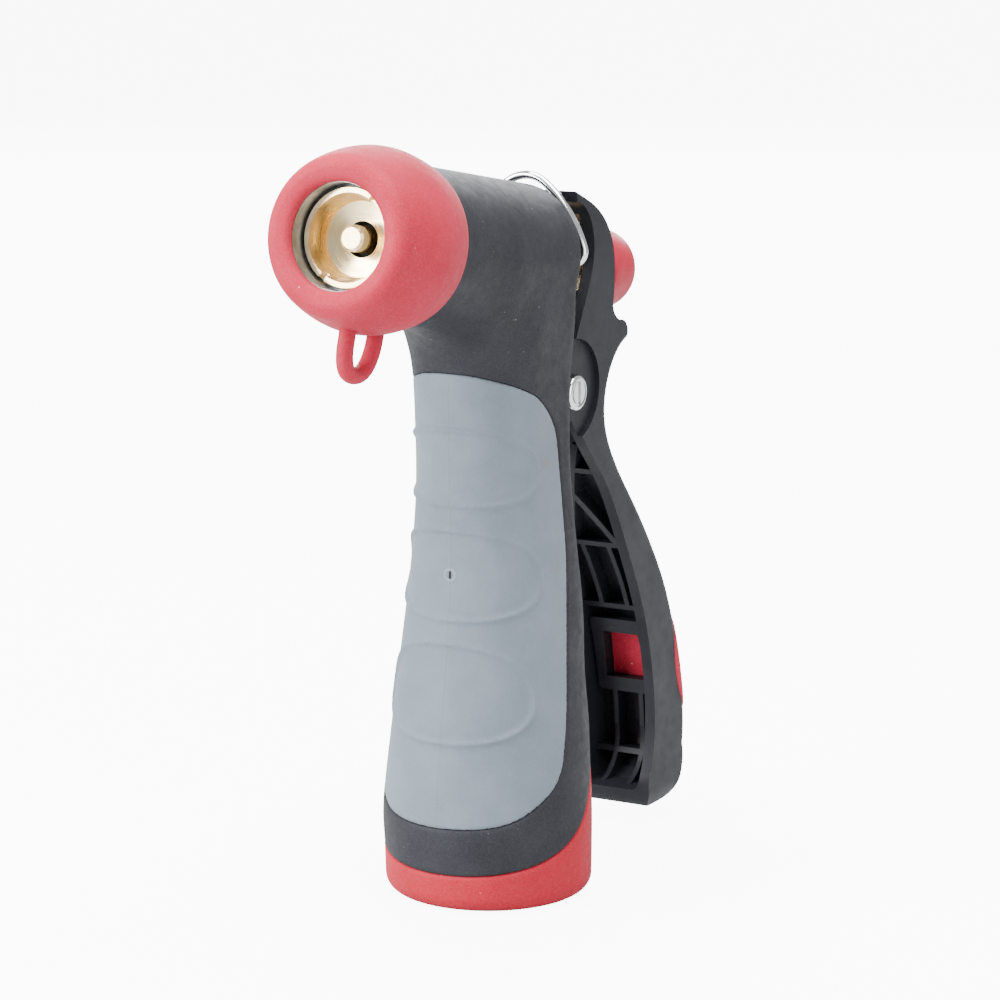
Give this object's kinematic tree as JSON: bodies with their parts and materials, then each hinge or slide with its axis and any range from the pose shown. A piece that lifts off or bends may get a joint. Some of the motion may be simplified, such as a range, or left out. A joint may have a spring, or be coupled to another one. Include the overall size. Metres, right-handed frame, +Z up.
{
  "type": "pistol-grip hose nozzle",
  "caption": "Rear-lever pistol-grip garden hose nozzle with rubber-covered metal body, brass nozzle insert, wire hold-open bail, adjusting knob and threaded hose inlet in the butt.",
  "frame": {"origin": "centre of the hose inlet at the bottom face of the grip", "axes": "+Z up the grip, the nozzle points to -Y, the lever is on the +Y side, and the pivot screw's head is on the +X side"},
  "size_m": [0.04, 0.1214, 0.146],
  "materials": {
    "zinc": "as cast, satin",
    "black_rubber": "fine matte grain",
    "grey_rubber": "matte with faint orange peel",
    "red_rubber": "matte, dusty sheen",
    "seal_rubber": "smooth",
    "brass": "machined, bright",
    "steel": "plain",
    "chromed_wire": "bright plated",
    "black_plastic": "satin moulded",
    "red_plastic": "satin moulded"
  },
  "bodies": {
    "body": {"body_casting": "zinc", "grip_sleeve": "black_rubber", "grip_panel": "grey_rubber", "base_bumper": "red_rubber", "front_bumper": "red_rubber", "nozzle_insert": "brass", "insert_gasket": "seal_rubber", "stem_packing": "seal_rubber", "packing_washer": "brass", "packing_nut": "brass", "return_spring": "steel", "pivot_screw": "chromed_wire", "pivot_nut": "chromed_wire", "pivot_sleeve": "steel", "hose_washer": "seal_rubber"},
    "trigger": {"lever": "black_plastic", "lever_pad": "red_rubber"},
    "stem": {"valve_stem": "brass", "poppet_seal": "seal_rubber", "spring_washer": "steel"},
    "knob_seal": {"knob_o_ring": "seal_rubber"},
    "knob": {"adjusting_knob": "red_plastic", "knob_insert": "brass"},
    "bail": {"hold_open_bail": "chromed_wire"}
  },
  "joints": [
    {"name": "lever_squeeze", "type": "hinge", "parent": "body", "child": "trigger", "pos_m": [0, 0.017, 0.094], "axis": [-1, 0, 0], "range_deg": [0, 15], "stiffness_Nm_per_rad": 0.886, "springref_deg": -18.85},
    {"name": "stem_slide", "type": "slide", "parent": "body", "child": "stem", "axis": [0, 0.9848, -0.1736], "range_m": [0, 0.0064], "deforming": ["return_spring"]},
    {"name": "knob_advance", "type": "slide", "parent": "stem", "child": "knob_seal", "axis": [0, 0.9848, -0.1736], "range_m": [0, 0.00162]},
    {"name": "knob_turn", "type": "hinge", "parent": "knob_seal", "child": "knob", "pos_m": [0, 0.0388, 0.11482], "axis": [0, 0.9848, -0.1736], "range_deg": [0, 720]},
    {"name": "bail_swing", "type": "hinge", "parent": "body", "child": "bail", "pos_m": [0, 0.01219, 0.11941], "axis": [-1, 0, 0], "range_deg": [0, 6]}
  ],
  "couplings": [
    {"joint": "stem_slide", "follows": "lever_squeeze", "m_per_rad": 0.0243},
    {"joint": "knob_advance", "follows": "knob_turn", "m_per_rad": 0.00012732}
  ]
}
